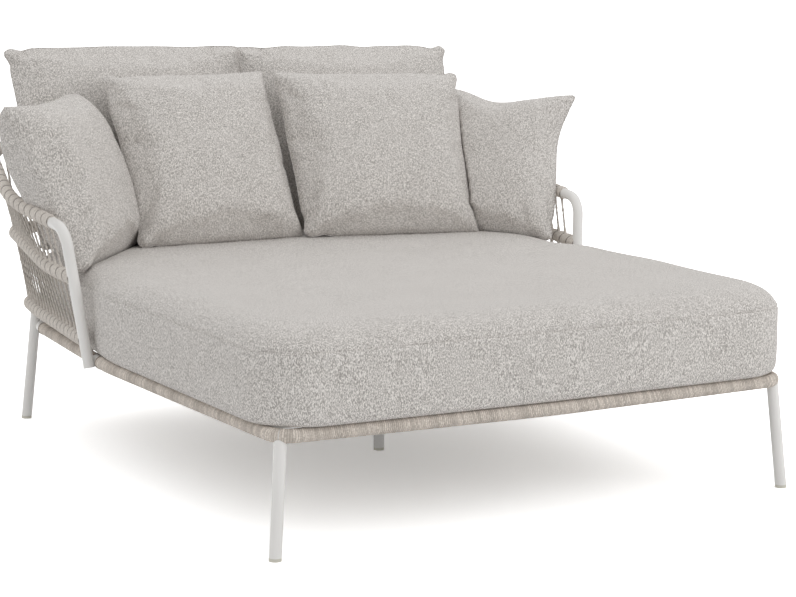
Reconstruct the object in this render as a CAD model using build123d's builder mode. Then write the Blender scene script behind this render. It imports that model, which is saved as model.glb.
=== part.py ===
from build123d import *
import math
import os

# A double chaise lounger: a bent tube seat frame on four splayed legs and one
# centre leg, a rope-wrapped backrest that runs round three sides, a boxed seat
# cushion, two back cushions and four loose pillows.
# The origin is on the floor under the centre leg, +Y points to the backrest,
# +X to the right of a person looking at the front, +Z up. Millimetres.

# Tube, rope and clearances
tube_radius = 15.0
tube_wall = 2.0
seat_wrap = 2.0
back_wrap = 2.7
strand_radius = 3.6
strand_pitch = 40.0
rest_gap = 0.3
overrun = 60.0

# Seat rail: a closed loop with gently bowed sides
rail_height = 282.0
front_corner_x = 712.0
front_corner_y = 838.0
front_bow = 28.0
side_bow_x = 750.0
side_bow_y = 110.0
rear_corner_x = 700.0
rear_corner_y = 812.0
rear_bow = 9.0
front_bend = 50.0
rear_bend = 70.0
bow_bend = 800.0
long_bow_bend = 3000.0
rail_joint_inset = 110.0

# Legs and glides
leg_splay_x = 0.086
leg_splay_y = 0.075
weld_bite = 0.5
glide_height = 8.0
glide_radius = 15.0
plug_clearance = 0.3
plug_length = 22.0

# Slats and centre beam
slat_count = 12
slat_width = 40.0
slat_thickness = 10.0
slat_margin = 70.0
slat_seat = 12.0
beam_width = 40.0
beam_height = 20.0
beam_wall = 2.0

# Arm uprights, welded to the outside of the seat rail and bent back into the top rail;
# their knees stand above the seat cushion
upright_y = 190.0
knee_x = 812.0
knee_y = 246.0
knee_rise = 113.0
knee_bend = 65.0
wrap_start = 82.0

# Top, mid and lower rails of the backrest; the bow is the outset from the arm upright,
# and the lower rail runs inwards from it. The top rail climbs from the knees to the back
top_bow_rise = 39.0
top_corner_rise = 162.0
top_bow_out = 20.0
top_bow_y = 640.0
top_corner_x = 772.0
top_corner_y = 1002.0
top_bend = 140.0
mid_share = 0.553
mid_slope = 0.063
mid_bow_out = 9.4
mid_bow_y = 400.0
mid_corner_x = 722.0
mid_corner_y = 960.0
mid_bend = 100.0
low_rise = 58.0
low_bow_out = -50.0
low_bow_y = 700.0
low_corner_x = 698.0
low_corner_y = 904.0
low_bend = 80.0
back_bow = 8.0
back_joint_inset = 190.0
low_joint_inset = 130.0

# Rings that close the wrapping of the seat rail
ring_width = 5.0
ring_thickness = 3.4
ring_gap_y = 27.0
rear_ring_y = 722.0

# Seat cushion
cushion_crown_height = 520.0
cushion_crown_rise = 46.0
cushion_front_y = 872.0
cushion_front_bow = 14.0
cushion_corner_x = 748.0
cushion_bow_x = 770.0
cushion_bow_y = 60.0
cushion_rear_x = 672.0
cushion_rear_y = 871.0
cushion_corner_bend = 150.0
cushion_bow_bend = 700.0
cushion_rear_bend = 90.0
# height as a share of the side below the seam, with the inset as a share of the edge rounding
cushion_side_shares = [(0.0, 1.0), (0.05, 0.36), (0.16, 0.1), (0.5, 0.0), (0.85, 0.0), (0.97, 0.09)]
cushion_edge_rounding = 22.0
# height as a share of the crown above the seam, with the inset as a share of the crown run
cushion_crown_shares = [(0.0, 0.02), (0.16, 0.055), (0.42, 0.15), (0.7, 0.34), (0.9, 0.62), (1.0, 1.0)]
cushion_crown_run = 330.0
# share of the crown run at the front corner, at the bow and at the rear corner, where pillows press
cushion_press_shares = [0.25, 0.25, 1.0]

# Back cushions and loose pillows: sizes, then places, turns, leans and rolls in degrees
seam_thickness = 6.0
ear_draw = 15.0
back_cushion_width = 737.0
back_cushion_height = 586.0
back_cushion_thickness = 200.0
back_cushion_gap = 8.0
back_cushion_taper = 42.0
back_cushion_lean = 16.3
back_cushion_y = 842.0
back_cushion_drop = 14.4
pillow_width = 545.0
pillow_height = 515.0
pillow_thickness = 162.0
pillow_lean = 24.0
pillow_lift = 0.5
left_pillow_x = -246.0
left_pillow_y = 636.0
left_pillow_turn = 3.0
right_pillow_x = 307.0
right_pillow_y = 571.0
right_pillow_turn = -8.0
side_pillow_width = 488.0
side_pillow_height = 484.0
side_pillow_thickness = 154.0
side_pillow_roll = 2.5
left_side_x = -657.0
left_side_y = 565.0
left_side_turn = 47.0
left_side_lean = 26.0
left_side_drop = 6.6
right_side_x = 669.0
right_side_y = 543.0
right_side_turn = -47.0
right_side_lean = 27.0
right_side_drop = 6.55
# least bow of a section over its seam, as a share of half the seam
seam_crown_share = 0.02
# height as a share of the half height, with the fullness and the side draw at that height
pillow_shares = [
    (-1.0, 0.0, 0.0),
    (-0.95, 0.30, 0.25),
    (-0.8, 0.60, 0.62),
    (-0.5, 0.88, 0.92),
    (0.0, 1.0, 1.0),
    (0.5, 0.88, 0.92),
    (0.8, 0.60, 0.62),
    (0.95, 0.30, 0.25),
    (1.0, 0.0, 0.0),
]

# Worked out from the sizes above
tube_bore = tube_radius - tube_wall
seat_wrap_radius = tube_radius + seat_wrap
back_wrap_radius = tube_radius + back_wrap
seat_top = rail_height + seat_wrap_radius
leg_joint_height = rail_height
weld_outset = 2 * tube_radius - weld_bite
cushion_seam_height = cushion_crown_height - cushion_crown_rise
knee_height = cushion_crown_height + knee_rise
low_height = rail_height + low_rise
mid_height = low_height + (knee_height - low_height) * mid_share


def between(start, end, y):
    # the point of the straight run from start to end at depth y
    share = (y - start[1]) / (end[1] - start[1])
    return tuple(a + share * (b - a) for a, b in zip(start, end))


def mirrored(points):
    # the same points on the other side of the plane x = 0
    return [(-x, y, z) for x, y, z in points]


def sided(points, side):
    # the points on the right for side 1, on the left for side -1
    return [(side * x, y, z) for x, y, z in points]


def bend_middle(before, corner, after, radius):
    # the middle point of the arc that rounds a corner, and the outward direction there
    to_before = (Vector(*before) - Vector(*corner)).normalized()
    to_after = (Vector(*after) - Vector(*corner)).normalized()
    inward = (to_before + to_after).normalized()
    half_angle = math.radians(to_before.get_angle(to_after)) / 2
    middle = Vector(*corner) + inward * (radius / math.sin(half_angle) - radius)
    return middle, inward * -1


def bend_plane(before, corner, after):
    # the plane that cuts a rounded corner in two equal halves
    first = (Vector(*corner) - Vector(*before)).normalized()
    second = (Vector(*after) - Vector(*corner)).normalized()
    return Plane(origin=corner, z_dir=first + second)


def sweep_round(points, bends, radius, bore=0.0, mode=Mode.ADD):
    # sweeps a round bar or tube along straight runs joined by tangent arcs
    with BuildLine() as route:
        if len(points) > 2:
            FilletPolyline(*points, radius=bends)
        else:
            Line(*points)
    with BuildSketch(Plane(origin=route.line @ 0, z_dir=route.line % 0)) as ring:
        Circle(radius)
        if bore > 0:
            Circle(bore, mode=Mode.SUBTRACT)
    sweep(ring.sketch, path=route.line, mode=mode)


def finish(piece, label):
    # names a finished piece and writes it
    piece.part.label = label
    export_step(piece.part, f"parts/{label}.step")


os.makedirs("parts", exist_ok=True)
side_names = {1: "right", -1: "left"}

# Corners of the seat rail loop, right side
front_middle = (0, -front_corner_y - front_bow, rail_height)
front_corner = (front_corner_x, -front_corner_y, rail_height)
side_bow = (side_bow_x, side_bow_y, rail_height)
rear_corner = (rear_corner_x, rear_corner_y, rail_height)
rear_middle = (0, rear_corner_y + rear_bow, rail_height)
front_joint = between(front_corner, side_bow, rail_joint_inset - front_corner_y)
rear_joint = between(side_bow, rear_corner, rear_corner_y - rail_joint_inset)

front_route = sided([front_joint, front_corner], -1) + [front_middle, front_corner, front_joint]
front_bends = [front_bend, long_bow_bend, front_bend]
rear_route = sided([rear_joint, rear_corner], -1) + [rear_middle, rear_corner, rear_joint]
rear_bends = [rear_bend, long_bow_bend, rear_bend]
side_route = [front_joint, side_bow, rear_joint]

# Front and rear seat rails, each with both of its corners
with BuildPart() as front_rail:
    sweep_round(front_route, front_bends, tube_radius, tube_bore)
finish(front_rail, "front_rail")

with BuildPart() as rear_rail:
    sweep_round(rear_route, rear_bends, tube_radius, tube_bore)
finish(rear_rail, "rear_rail")

# Wrapping of the front rail, cut in a mitre over each front leg
left_front_corner = sided([front_corner], -1)[0]
with BuildPart() as front_rail_wrap:
    sweep_round(front_route, front_bends, seat_wrap_radius, tube_radius)
    split(bisect_by=bend_plane(sided([side_bow], -1)[0], left_front_corner, front_middle), keep=Keep.TOP)
    split(bisect_by=bend_plane(front_middle, front_corner, side_bow), keep=Keep.BOTTOM)
finish(front_rail_wrap, "front_rail_wrap")

# Side rails with their wrapping, which leaves the tube bare under each arm upright
wrap_front_end = between(side_bow, rear_corner, upright_y - ring_gap_y)
wrap_rear_start = between(side_bow, rear_corner, upright_y + ring_gap_y)
wrap_rear_end = between(side_bow, rear_corner, rear_ring_y)
for side, name in side_names.items():
    with BuildPart() as side_rail:
        sweep_round(sided(side_route, side), bow_bend, tube_radius, tube_bore)
    finish(side_rail, f"{name}_rail")

    corner = sided([front_corner], side)[0]
    bow = sided([side_bow], side)[0]
    with BuildPart() as side_wrap_front:
        route = [front_middle] + sided([front_corner, side_bow, wrap_front_end], side)
        sweep_round(route, [front_bend, bow_bend], seat_wrap_radius, tube_radius)
        split(bisect_by=bend_plane(front_middle, corner, bow), keep=Keep.TOP)
    finish(side_wrap_front, f"{name}_rail_wrap_front")

    with BuildPart() as side_wrap_rear:
        route = sided([wrap_rear_start, wrap_rear_end], side)
        sweep_round(route, 0, seat_wrap_radius, tube_radius)
    finish(side_wrap_rear, f"{name}_rail_wrap_rear")

# Small rings at the ends of the side wrapping, one group
with BuildPart() as wrap_end_rings:
    for side in side_names:
        direction = Vector(*sided([rear_corner], side)[0]) - Vector(*sided([side_bow], side)[0])
        direction = direction.normalized()
        for place, way in ((wrap_front_end, 1), (wrap_rear_start, -1), (wrap_rear_end, 1)):
            start = Vector(*sided([place], side)[0])
            with BuildSketch(Plane(origin=start, z_dir=direction * way)):
                Circle(tube_radius + ring_thickness)
                Circle(tube_radius, mode=Mode.SUBTRACT)
            extrude(amount=ring_width)
finish(wrap_end_rings, "wrap_end_rings")

# Centre lines of the backrest rails, from the right upright round to the left one
upright_foot = (between(side_bow, rear_corner, upright_y)[0] + weld_outset, upright_y, rail_height)
knee = (knee_x, knee_y, knee_height)
top_bow = (knee_x + top_bow_out, top_bow_y, knee_height + top_bow_rise)
top_corner = (top_corner_x, top_corner_y, knee_height + top_corner_rise)
top_middle = (0, top_corner_y + back_bow, top_corner[2])


def on_upright(height):
    # the point of the upright's centre line at a height
    share = (height - upright_foot[2]) / (knee[2] - upright_foot[2])
    return tuple(a + share * (b - a) for a, b in zip(upright_foot, knee))


mid_start = on_upright(mid_height)
mid_bow = (mid_start[0] + mid_bow_out, mid_bow_y, mid_height + mid_slope * (mid_bow_y - mid_start[1]))
mid_corner = (mid_corner_x, mid_corner_y, mid_height + mid_slope * (mid_corner_y - mid_start[1]))
mid_middle = (0, mid_corner_y + back_bow, mid_corner[2])
low_start = on_upright(low_height)
low_bow = (low_start[0] + low_bow_out, low_bow_y, low_height)
low_corner = (low_corner_x, low_corner_y, low_height)
low_middle = (0, low_corner_y + back_bow, low_height)

# Arm uprights: bare tube from the seat rail's lower edge to the start of the top rail's wrapping
top_start = between(knee, top_bow, knee_y + wrap_start)
upright_route = [on_upright(rail_height - tube_radius), knee, top_start]
for side, name in side_names.items():
    with BuildPart() as upright:
        sweep_round(sided(upright_route, side), knee_bend, tube_radius, tube_bore)
        sweep_round(sided(side_route, side), bow_bend, tube_radius, mode=Mode.SUBTRACT)
    finish(upright, f"{name}_arm_upright")


def back_rail(label, start, bow, corner, middle, corner_bend, joint_inset, start_bends, start_points):
    # one backrest rail in three lengths, each a tube and its wrapping
    joint = between(bow, corner, corner[1] - joint_inset)
    first = between(start, bow, start[1] + tube_radius / 2) if start_points else start
    back_route = sided([joint, corner], -1) + [middle, corner, joint]
    back_bends = [corner_bend, long_bow_bend, corner_bend]
    for layer, outer, inner in (("", tube_radius, tube_bore), ("_wrap", back_wrap_radius, tube_radius)):
        with BuildPart() as back_length:
            sweep_round(back_route, back_bends, outer, inner)
        finish(back_length, f"{label}_back{layer}")
        for side, name in side_names.items():
            with BuildPart() as side_length:
                sweep_round(sided([first, bow, joint], side), bow_bend, outer, inner)
                if start_points:
                    sweep_round(sided(start_points, side), start_bends, tube_radius, mode=Mode.SUBTRACT)
            finish(side_length, f"{label}_{name}{layer}")


# The mid and lower rails meet the uprights in a saddle
back_rail("top_rail", top_start, top_bow, top_corner, top_middle, top_bend, back_joint_inset, 0, [])
back_rail(
    "mid_rail", mid_start, mid_bow, mid_corner, mid_middle, mid_bend, back_joint_inset, knee_bend, upright_route
)
back_rail(
    "low_rail", low_start, low_bow, low_corner, low_middle, low_bend, low_joint_inset, knee_bend, upright_route
)

# Rope strands between the three rails, evenly spread round the arms and the back
rail_lines = []
for start, bow, corner, middle, corner_bend in (
    (top_start, top_bow, top_corner, top_middle, top_bend),
    (mid_start, mid_bow, mid_corner, mid_middle, mid_bend),
    (low_start, low_bow, low_corner, low_middle, low_bend),
):
    half = [start, bow, corner]
    with BuildLine() as rail_line:
        FilletPolyline(
            *(half + [middle] + mirrored(half)[::-1]),
            radius=[bow_bend, corner_bend, long_bow_bend, corner_bend, bow_bend],
        )
    rail_lines.append(rail_line.wires()[0])


def strand_reach(run, rail_way):
    # how far from a rail's centre line a strand ends, so that its rim clears the wrapping
    along = abs(run.dot(rail_way))
    square = math.sqrt(1 - along**2)
    return (back_wrap_radius + rest_gap + strand_radius * along) / square


strand_count = round(rail_lines[0].length / strand_pitch)
strand_groups = {"back_strands": []}
for name in side_names.values():
    strand_groups[f"{name}_arm_strands"] = []
    strand_groups[f"{name}_corner_strands"] = []
for index in range(strand_count):
    share = (index + 0.5) / strand_count
    stations = []
    tangents = []
    for line in rail_lines:
        place = share * line.length
        stations.append(line.position_at(place, position_mode=PositionMode.LENGTH))
        tangents.append(line.tangent_at(place, position_mode=PositionMode.LENGTH))
    for upper, lower, upper_way, lower_way in zip(stations, stations[1:], tangents, tangents[1:]):
        run = (lower - upper).normalized()
        first = upper + run * strand_reach(run, upper_way)
        last = lower - run * strand_reach(run, lower_way)
        name = side_names[1 if stations[0].X > 0 else -1]
        if abs(stations[0].X) < top_corner_x - top_bend:
            strand_groups["back_strands"].append((first, last))
        elif stations[0].Y > top_corner_y - back_joint_inset:
            strand_groups[f"{name}_corner_strands"].append((first, last))
        else:
            strand_groups[f"{name}_arm_strands"].append((first, last))

for label, spans in strand_groups.items():
    with BuildPart() as strands:
        for first, last in spans:
            with BuildSketch(Plane(origin=first, z_dir=last - first)):
                Circle(strand_radius)
            extrude(amount=(last - first).length)
    finish(strands, label)

# Legs: the front ones end under the rail's corners, the rear ones pass outside the
# rail's corners and reach the lower backrest rail
front_leg_top, front_outward = bend_middle(side_bow, front_corner, front_middle, front_bend)
rear_bend_middle, rear_outward = bend_middle(side_bow, rear_corner, rear_middle, rear_bend)
rear_leg_pass = rear_bend_middle + rear_outward * weld_outset
low_side_route = [low_start, low_bow, low_corner, low_middle]


def leg_point(joint_point, way, height):
    # the point of a splayed leg's centre line at a height
    drop = leg_joint_height - height
    return (joint_point.X + leg_splay_x * drop, joint_point.Y + way * leg_splay_y * drop, height)


for side, name in side_names.items():
    for place, joint_point, way, top in (
        ("front", front_leg_top, -1, rail_height),
        ("rear", rear_leg_pass, 1, low_height),
    ):
        axis_points = [leg_point(joint_point, way, -overrun), leg_point(joint_point, way, top)]
        with BuildPart() as leg:
            sweep_round(sided(axis_points, side), 0, tube_radius, tube_bore)
            split(bisect_by=Plane.XY.offset(glide_height), keep=Keep.TOP)
            if place == "front":
                sweep_round(front_route, front_bends, seat_wrap_radius, mode=Mode.SUBTRACT)
            else:
                sweep_round(rear_route, rear_bends, tube_radius, mode=Mode.SUBTRACT)
                sweep_round(sided(low_side_route, side), [bow_bend, low_bend], back_wrap_radius, mode=Mode.SUBTRACT)
        finish(leg, f"{place}_leg_{name}")

        foot = leg_point(joint_point, way, 0)
        plug_end = leg_point(joint_point, way, glide_height + plug_length)
        with BuildPart() as glide:
            with BuildSketch(Plane.XY):
                with Locations((side * foot[0], foot[1])):
                    Circle(glide_radius)
            extrude(amount=glide_height)
            sweep_round(
                sided([leg_point(joint_point, way, glide_height / 2), plug_end], side),
                0,
                tube_bore - plug_clearance,
            )
        finish(glide, f"{place}_glide_{name}")

# Slats of the seat, one group, resting on the shoulders of the side rails
slat_top = seat_top
slat_bottom = slat_top - slat_thickness
slat_first = slat_margin - front_corner_y
slat_step = (rear_corner_y - slat_margin - slat_first) / (slat_count - 1)
with BuildPart() as seat_slats:
    for index in range(slat_count):
        slat_y = slat_first + index * slat_step
        run = (front_corner, side_bow) if slat_y < side_bow_y else (side_bow, rear_corner)
        half_length = between(*run, slat_y)[0] - slat_seat
        with BuildSketch(Plane.XY.offset(slat_bottom)):
            with Locations((0, slat_y)):
                Rectangle(2 * half_length, slat_width)
        extrude(amount=slat_thickness)
    for side in side_names:
        whole_side = [front_middle] + sided([front_corner, side_bow, rear_corner], side) + [rear_middle]
        sweep_round(
            whole_side, [front_bend, bow_bend, rear_bend], tube_radius + ring_thickness, mode=Mode.SUBTRACT
        )
finish(seat_slats, "seat_slats")

# Centre beam under the slats, a flat box tube from the front rail to the rear rail
with BuildPart() as centre_beam:
    with BuildSketch(Plane.XZ.offset(-rear_middle[1])):
        with Locations((0, slat_bottom - beam_height / 2)):
            Rectangle(beam_width, beam_height)
            Rectangle(beam_width - 2 * beam_wall, beam_height - 2 * beam_wall, mode=Mode.SUBTRACT)
    extrude(amount=rear_middle[1] - front_middle[1])
    sweep_round(front_route, front_bends, seat_wrap_radius, mode=Mode.SUBTRACT)
    sweep_round(rear_route, rear_bends, tube_radius, mode=Mode.SUBTRACT)
finish(centre_beam, "centre_beam")

# Centre leg and its glide
beam_bottom = slat_bottom - beam_height
with BuildPart() as centre_leg:
    sweep_round([(0, 0, glide_height), (0, 0, beam_bottom)], 0, tube_radius, tube_bore)
finish(centre_leg, "centre_leg")

with BuildPart() as centre_glide:
    with BuildSketch(Plane.XY):
        Circle(glide_radius)
    extrude(amount=glide_height)
    with BuildSketch(Plane.XY.offset(glide_height)):
        Circle(tube_bore - plug_clearance)
    extrude(amount=plug_length)
finish(centre_glide, "centre_glide")

# Seat cushion: a boxed cushion with rounded corners, a soft lower edge and a crown
cushion_bottom = seat_top + rest_gap
cushion_centre_y = (cushion_rear_y - cushion_front_y) / 2
cushion_half_depth = (cushion_rear_y + cushion_front_y) / 2
cushion_half = [
    (cushion_corner_x, -cushion_front_y),
    (cushion_bow_x, cushion_bow_y),
    (cushion_rear_x, cushion_rear_y),
]
cushion_bends = [cushion_corner_bend, cushion_bow_bend, cushion_rear_bend]


def drawn_in(inset, size):
    # what remains of a half size that is drawn in by the inset, as a share of it
    return 1 - inset / size


def cushion_section(height, rounding, crown_inset):
    # one level section: the outline drawn in by the rounding, and at each corner by its share
    # of the crown's inset
    insets = [rounding + crown_inset * share for share in cushion_press_shares]
    half = []
    bends = []
    for (x, y), bend, inset in zip(cushion_half, cushion_bends, insets):
        wide = drawn_in(inset, cushion_bow_x)
        deep = drawn_in(inset, cushion_half_depth)
        half.append((x * wide, cushion_centre_y + (y - cushion_centre_y) * deep))
        bends.append(bend * wide)
    front_depth = (cushion_half_depth + cushion_front_bow) * drawn_in(insets[0], cushion_half_depth)
    points = half + [(-x, y) for x, y in half[::-1]] + [(0, cushion_centre_y - front_depth)]
    bends = bends + bends[::-1] + [long_bow_bend * drawn_in(insets[0], cushion_bow_x)]
    with BuildSketch(Plane.XY.offset(height)) as section:
        with BuildLine():
            FilletPolyline(*points, radius=bends, close=True)
        make_face()
    return section.sketch


cushion_side = cushion_seam_height - cushion_bottom
cushion_crown = cushion_crown_height - cushion_seam_height
cushion_levels = []
for height_share, inset_share in cushion_side_shares:
    cushion_levels.append((cushion_bottom + cushion_side * height_share, cushion_edge_rounding * inset_share, 0))
for height_share, inset_share in cushion_crown_shares:
    cushion_levels.append((cushion_seam_height + cushion_crown * height_share, 0, cushion_crown_run * inset_share))
with BuildPart() as seat_cushion:
    loft([cushion_section(*level) for level in cushion_levels], ruled=True)
finish(seat_cushion, "seat_cushion")


def pillow_frame(centre, turn, lean, roll):
    # a pillow's own frame: turned about the vertical, leaned back, then rolled in its plane
    angle = math.radians(turn)
    tilt = math.radians(lean)
    spin = math.radians(roll)
    across = Vector(math.cos(angle), math.sin(angle), 0)
    back = Vector(-math.sin(angle), math.cos(angle), 0)
    upward = back * math.sin(tilt) + Vector(0, 0, 1) * math.cos(tilt)
    rolled_across = across * math.cos(spin) + upward * math.sin(spin)
    rolled_upward = upward * math.cos(spin) - across * math.sin(spin)
    return Plane(origin=centre, x_dir=rolled_across, z_dir=rolled_upward)


def half_fullness(thickness, full_share):
    # half the thickness in the middle of a section
    return (seam_thickness + (thickness - seam_thickness) * full_share) / 2


def lowest_point(height, thickness, lean):
    # how far a leaned pillow's lowest point lies below its centre
    tilt = math.radians(lean)
    depths = []
    for level_share, full_share, _ in pillow_shares:
        depths.append(
            half_fullness(thickness, full_share) * math.sin(tilt) - level_share * height / 2 * math.cos(tilt)
        )
    return max(depths)


def pillow_body(frame, width, height, thickness, taper=0.0, taper_side=0):
    # lofts a pillow with knife edges: full in the middle, thin at the seam, ears at the
    # corners, and drawn in towards its foot on one side where it has a taper
    sections = []
    for level_share, full_share, draw_share in pillow_shares:
        half_width = width / 2 - ear_draw * draw_share
        side_draw = taper * (1 - level_share) / 2
        left = (side_draw if taper_side < 0 else 0) - half_width
        right = half_width - (side_draw if taper_side > 0 else 0)
        middle = (left + right) / 2
        half_seam = seam_thickness / 2
        crown = max(half_fullness(thickness, full_share), half_seam * (1 + seam_crown_share))
        with BuildSketch(frame.offset(level_share * height / 2)) as section:
            with BuildLine():
                ThreePointArc((left, -half_seam), (middle, -crown), (right, -half_seam))
                Line((right, -half_seam), (right, half_seam))
                ThreePointArc((right, half_seam), (middle, crown), (left, half_seam))
                Line((left, half_seam), (left, -half_seam))
            make_face()
        sections.append(section.sketch)
    loft(sections)


# Back cushions, side by side on the seat cushion and leaning on the backrest, narrower
# at the foot where they stand between the arms
pillow_level = cushion_crown_height + rest_gap
drop = lowest_point(back_cushion_height, back_cushion_thickness, back_cushion_lean)
for side, name in side_names.items():
    centre = (
        side * (back_cushion_gap + back_cushion_width) / 2,
        back_cushion_y,
        pillow_level - back_cushion_drop + drop,
    )
    with BuildPart() as back_cushion:
        frame = pillow_frame(centre, 0, back_cushion_lean, 0)
        pillow_body(
            frame, back_cushion_width, back_cushion_height, back_cushion_thickness, back_cushion_taper, side
        )
    finish(back_cushion, f"back_cushion_{name}")

# Front pillows, leaning on the back cushions
drop = lowest_point(pillow_height, pillow_thickness, pillow_lean)
for name, x, y, turn in (
    ("left", left_pillow_x, left_pillow_y, left_pillow_turn),
    ("right", right_pillow_x, right_pillow_y, right_pillow_turn),
):
    centre = (x, y, pillow_level + pillow_lift + drop)
    with BuildPart() as front_pillow:
        frame = pillow_frame(centre, turn, pillow_lean, 0)
        pillow_body(frame, pillow_width, pillow_height, pillow_thickness)
    finish(front_pillow, f"front_pillow_{name}")

# Side pillows, set across the corners between the arms and the back cushions
for name, x, y, turn, lean, roll, drop in (
    ("left", left_side_x, left_side_y, left_side_turn, left_side_lean, side_pillow_roll, left_side_drop),
    ("right", right_side_x, right_side_y, right_side_turn, right_side_lean, -side_pillow_roll, right_side_drop),
):
    level = pillow_level - drop + lowest_point(side_pillow_height, side_pillow_thickness, lean)
    with BuildPart() as side_pillow:
        frame = pillow_frame((x, y, level), turn, lean, roll)
        pillow_body(frame, side_pillow_width, side_pillow_height, side_pillow_thickness)
    finish(side_pillow, f"side_pillow_{name}")
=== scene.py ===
import math

import bpy
import numpy as np
from mathutils import Matrix, Vector
from mathutils.bvhtree import BVHTree


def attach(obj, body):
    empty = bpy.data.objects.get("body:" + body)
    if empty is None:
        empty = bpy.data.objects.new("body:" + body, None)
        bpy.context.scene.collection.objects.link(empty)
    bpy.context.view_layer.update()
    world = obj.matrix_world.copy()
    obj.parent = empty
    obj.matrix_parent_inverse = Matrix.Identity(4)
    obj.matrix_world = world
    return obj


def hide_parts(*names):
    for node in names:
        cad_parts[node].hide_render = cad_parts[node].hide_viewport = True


# A double chaise lounger: soft cushions, wound cord and rope, and the studio round them.
# Lengths are in metres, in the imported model's own frame.
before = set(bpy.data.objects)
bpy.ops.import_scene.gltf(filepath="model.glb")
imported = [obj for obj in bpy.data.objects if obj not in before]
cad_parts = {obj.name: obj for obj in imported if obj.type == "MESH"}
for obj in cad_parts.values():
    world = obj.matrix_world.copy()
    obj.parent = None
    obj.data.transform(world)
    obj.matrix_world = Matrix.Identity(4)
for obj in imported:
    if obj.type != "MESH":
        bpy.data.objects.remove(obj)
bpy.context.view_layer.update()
print("frame loaded")

sides = {"right": 1, "left": -1}
full = 2 * math.pi


# shapes worked out as arrays
def unit(rows):
    # each row divided by its own length
    return rows / np.linalg.norm(rows, axis=-1, keepdims=True)


def mirrored(points):
    # the same points on the other side, with x turned round
    return [(-x, y, z) for x, y, z in points]


def between(start, end, value, axis=1):
    # the point of the straight run from start to end where one of its coordinates has a value
    share = (value - start[axis]) / (end[axis] - start[axis])
    return tuple(a + share * (b - a) for a, b in zip(start, end))


def alongLine(line, lengths, spots):
    # the points of a line at the given lengths along it
    return np.stack([np.interp(spots, lengths, values) for values in line.T], 1)


def smoothCurve(x, xs, ys):
    # a curve through the given stops that never overshoots: cubic pieces whose slopes are
    # the harmonic mean of the slopes on both sides
    xs, ys = np.array(xs, float), np.array(ys, float)
    slopes = np.diff(ys) / np.diff(xs)
    before, after = slopes[:-1], slopes[1:]
    same = before * after > 0
    inner = np.where(same, 2 * before * after / np.where(same, before + after, 1), 0)
    tangents = np.concatenate([slopes[:1], inner, slopes[-1:]])
    place = np.clip(np.searchsorted(xs, x) - 1, 0, len(xs) - 2)
    width = xs[place + 1] - xs[place]
    t = np.clip((x - xs[place]) / width, 0, 1)
    rise = 3 * t**2 - 2 * t**3
    return (
        ys[place] * (1 - rise)
        + ys[place + 1] * rise
        + width * (t**3 - 2 * t**2 + t) * tangents[place]
        + width * (t**3 - t**2) * tangents[place + 1]
    )


def bentLine(points, bends, step, arcSteps=24):
    # straight runs joined by arcs that touch both, then points at even steps along the whole;
    # an arc = middle + bend * (cos turn * start way + sin turn * the way on)
    points = np.array(points, float)
    parts = [points[:1]]
    for index, bend in enumerate(bends, 1):
        corner = points[index]
        toBefore, toAfter = unit(points[index - 1] - corner), unit(points[index + 1] - corner)
        halfAngle = math.acos(np.clip(toBefore @ toAfter, -1, 1)) / 2
        reach = bend / math.tan(halfAngle)
        middle = corner + unit(toBefore + toAfter) * bend / math.sin(halfAngle)
        start = (corner + toBefore * reach - middle) / bend
        across = -toBefore
        turn = np.linspace(0, math.pi - 2 * halfAngle, arcSteps)[:, None]
        parts.append(middle + bend * (np.cos(turn) * start + np.sin(turn) * across))
    parts.append(points[-1:])
    line = np.concatenate(parts)
    lengths = np.concatenate([[0], np.cumsum(np.linalg.norm(np.diff(line, axis=0), axis=1))])
    count = max(2, round(lengths[-1] / step) + 1)
    places = np.linspace(0, lengths[-1], count)
    return alongLine(line, lengths, places), places


def around(line):
    # for each point of a line: the way out to its side and the way up, square to the line
    along = unit(np.gradient(line, axis=0))
    out = unit(np.cross(along, (0, 0, 1)))
    return out, np.cross(out, along)


def tubeGrid(line, radii):
    # rings round a line: point = line + radius * (cos turn * out + sin turn * up)
    turn = np.linspace(0, full, radii.shape[1], endpoint=False)[None, :, None]
    out, up = around(line)
    ring = np.cos(turn) * out[:, None] + np.sin(turn) * up[:, None]
    return line[:, None] + radii[..., None] * ring


def meshOf(name, points, quads, triangles=(), cornerUv=None):
    # one mesh from arrays of points, four-sided and three-sided faces, with its UV map
    quads = np.array(quads, np.int32).reshape(-1, 4)
    triangles = np.array(triangles, np.int32).reshape(-1, 3)
    mesh = bpy.data.meshes.new(name)
    mesh.vertices.add(len(points))
    mesh.vertices.foreach_set("co", np.ascontiguousarray(points, np.float32).ravel())
    corners = np.concatenate([quads.ravel(), triangles.ravel()])
    mesh.loops.add(len(corners))
    mesh.loops.foreach_set("vertex_index", corners)
    totals = np.concatenate([np.full(len(quads), 4), np.full(len(triangles), 3)]).astype(np.int32)
    mesh.polygons.add(len(totals))
    starts = np.concatenate([[0], np.cumsum(totals)[:-1]]).astype(np.int32)
    mesh.polygons.foreach_set("loop_start", starts)
    mesh.polygons.foreach_set("loop_total", totals)
    if cornerUv is not None:
        layer = mesh.uv_layers.new(name="surface")
        layer.data.foreach_set("uv", np.ascontiguousarray(cornerUv, np.float32).ravel())
    mesh.update(calc_edges=True)
    mesh.validate()
    mesh.polygons.foreach_set("use_smooth", np.ones(len(mesh.polygons), bool))
    piece = bpy.data.objects.new(name, mesh)
    bpy.context.scene.collection.objects.link(piece)
    return piece


def wallQuads(rings, count, closed=False):
    # four-sided faces between neighbouring rings, with the ring and the place round where each starts
    row, col = np.meshgrid(np.arange(rings if closed else rings - 1), np.arange(count), indexing="ij")
    row, col = row.ravel(), col.ravel()
    nextRow, nextCol = (row + 1) % rings, (col + 1) % count
    corners = [row * count + col, nextRow * count + col, nextRow * count + nextCol, row * count + nextCol]
    return np.stack(corners, 1), row, col


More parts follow.
